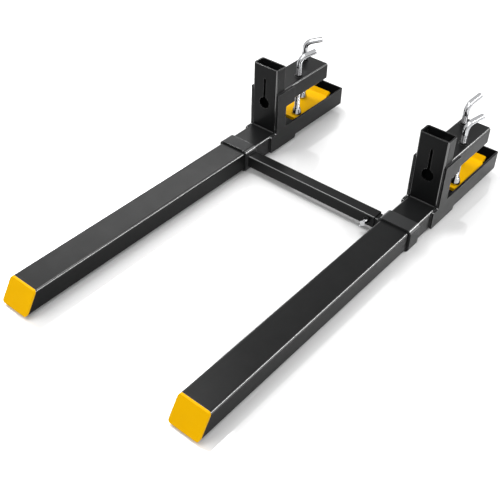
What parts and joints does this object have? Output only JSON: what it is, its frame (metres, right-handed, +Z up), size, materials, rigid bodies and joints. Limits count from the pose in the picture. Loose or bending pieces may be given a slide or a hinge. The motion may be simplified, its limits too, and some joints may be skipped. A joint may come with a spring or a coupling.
{
  "type": "clamp-on pallet forks",
  "caption": "Pair of square-tube pallet forks that clamp to a loader bucket's edge with hand screws, joined by a telescoping stabilizer bar.",
  "frame": {"origin": "bottom centre of the whole pair's bounding box, on the ground under the collars", "axes": "+Y from the fork tips towards the clamps, +Z up, +X from the left fork to the right fork"},
  "size_m": [0.7712, 1.524, 0.3255],
  "materials": {
    "black_powder_coat": "satin powder coat",
    "yellow_paint": "gloss paint",
    "zinc_plate": "bright zinc plate",
    "black_nut": "satin powder coat"
  },
  "bodies": {
    "stabilizer_outer": {"left_collar": "black_powder_coat", "bar_outer": "black_powder_coat", "lock_nut": "black_nut"},
    "left_fork": {"left_fork_tube": "black_powder_coat", "left_tip_plate": "yellow_paint", "left_chain_post": "black_powder_coat", "left_clamp_arm": "black_powder_coat", "left_inner_plate": "black_powder_coat", "left_outer_plate": "black_powder_coat", "left_jaw_floor": "black_powder_coat", "left_jaw_end": "black_powder_coat", "left_front_nut": "black_nut", "left_rear_nut": "black_nut"},
    "left_pad_and_feet": {"left_pad": "yellow_paint", "left_front_foot": "zinc_plate", "left_rear_foot": "zinc_plate"},
    "left_front_clamp_screw": {"left_front_screw": "zinc_plate"},
    "left_rear_clamp_screw": {"left_rear_screw": "zinc_plate"},
    "right_fork": {"right_fork_tube": "black_powder_coat", "right_tip_plate": "yellow_paint", "right_chain_post": "black_powder_coat", "right_clamp_arm": "black_powder_coat", "right_inner_plate": "black_powder_coat", "right_outer_plate": "black_powder_coat", "right_jaw_floor": "black_powder_coat", "right_jaw_end": "black_powder_coat", "right_front_nut": "black_nut", "right_rear_nut": "black_nut"},
    "right_pad_and_feet": {"right_pad": "yellow_paint", "right_front_foot": "zinc_plate", "right_rear_foot": "zinc_plate"},
    "right_front_clamp_screw": {"right_front_screw": "zinc_plate"},
    "right_rear_clamp_screw": {"right_rear_screw": "zinc_plate"},
    "stabilizer_inner": {"bar_inner": "black_powder_coat", "right_collar": "black_powder_coat"},
    "stabilizer_lock_screw": {"lock_screw": "zinc_plate"}
  },
  "joints": [
    {"name": "stabilizer_slide", "type": "slide", "parent": "stabilizer_outer", "child": "stabilizer_inner", "axis": [1, 0, 0], "range_m": [-0.018, 0.28]},
    {"name": "lock_screw_turn", "type": "hinge", "parent": "stabilizer_outer", "child": "stabilizer_lock_screw", "pos_m": [0.2219, 0.182, 0.0435], "axis": [0, -1, 0], "range_deg": [0, 1080]},
    {"name": "left_fork_slide", "type": "slide", "parent": "stabilizer_outer", "child": "left_fork", "axis": [0, 1, 0], "range_m": [-0.08, 0.6]},
    {"name": "left_pad_slide", "type": "slide", "parent": "left_fork", "child": "left_pad_and_feet", "axis": [0, 0, 1], "range_m": [-0.0355, 0.0555]},
    {"name": "left_front_screw_turn", "type": "hinge", "parent": "left_pad_and_feet", "child": "left_front_clamp_screw", "pos_m": [-0.29811, 0.508, 0.1575], "axis": [0, 0, 1], "range_deg": [-5040, 7920]},
    {"name": "left_rear_screw_turn", "type": "hinge", "parent": "left_pad_and_feet", "child": "left_rear_clamp_screw", "pos_m": [-0.35411, 0.615, 0.1575], "axis": [0, 0, 1], "range_deg": [-5100, 7980]},
    {"name": "right_fork_slide", "type": "slide", "parent": "stabilizer_inner", "child": "right_fork", "axis": [0, 1, 0], "range_m": [-0.08, 0.6]},
    {"name": "right_pad_slide", "type": "slide", "parent": "right_fork", "child": "right_pad_and_feet", "axis": [0, 0, 1], "range_m": [-0.0355, 0.0555]},
    {"name": "right_front_screw_turn", "type": "hinge", "parent": "right_pad_and_feet", "child": "right_front_clamp_screw", "pos_m": [0.3529, 0.508, 0.1575], "axis": [0, 0, 1], "range_deg": [-5040, 7920]},
    {"name": "right_rear_screw_turn", "type": "hinge", "parent": "right_pad_and_feet", "child": "right_rear_clamp_screw", "pos_m": [0.2969, 0.615, 0.1575], "axis": [0, 0, 1], "range_deg": [-5100, 7980]}
  ],
  "couplings": [
    {"joint": "left_pad_slide", "follows": "left_front_screw_turn", "m_per_rad": 0.00039789},
    {"joint": "left_rear_screw_turn", "follows": "left_front_screw_turn", "ratio": 1},
    {"joint": "right_pad_slide", "follows": "right_front_screw_turn", "m_per_rad": 0.00039789},
    {"joint": "right_rear_screw_turn", "follows": "right_front_screw_turn", "ratio": 1}
  ]
}
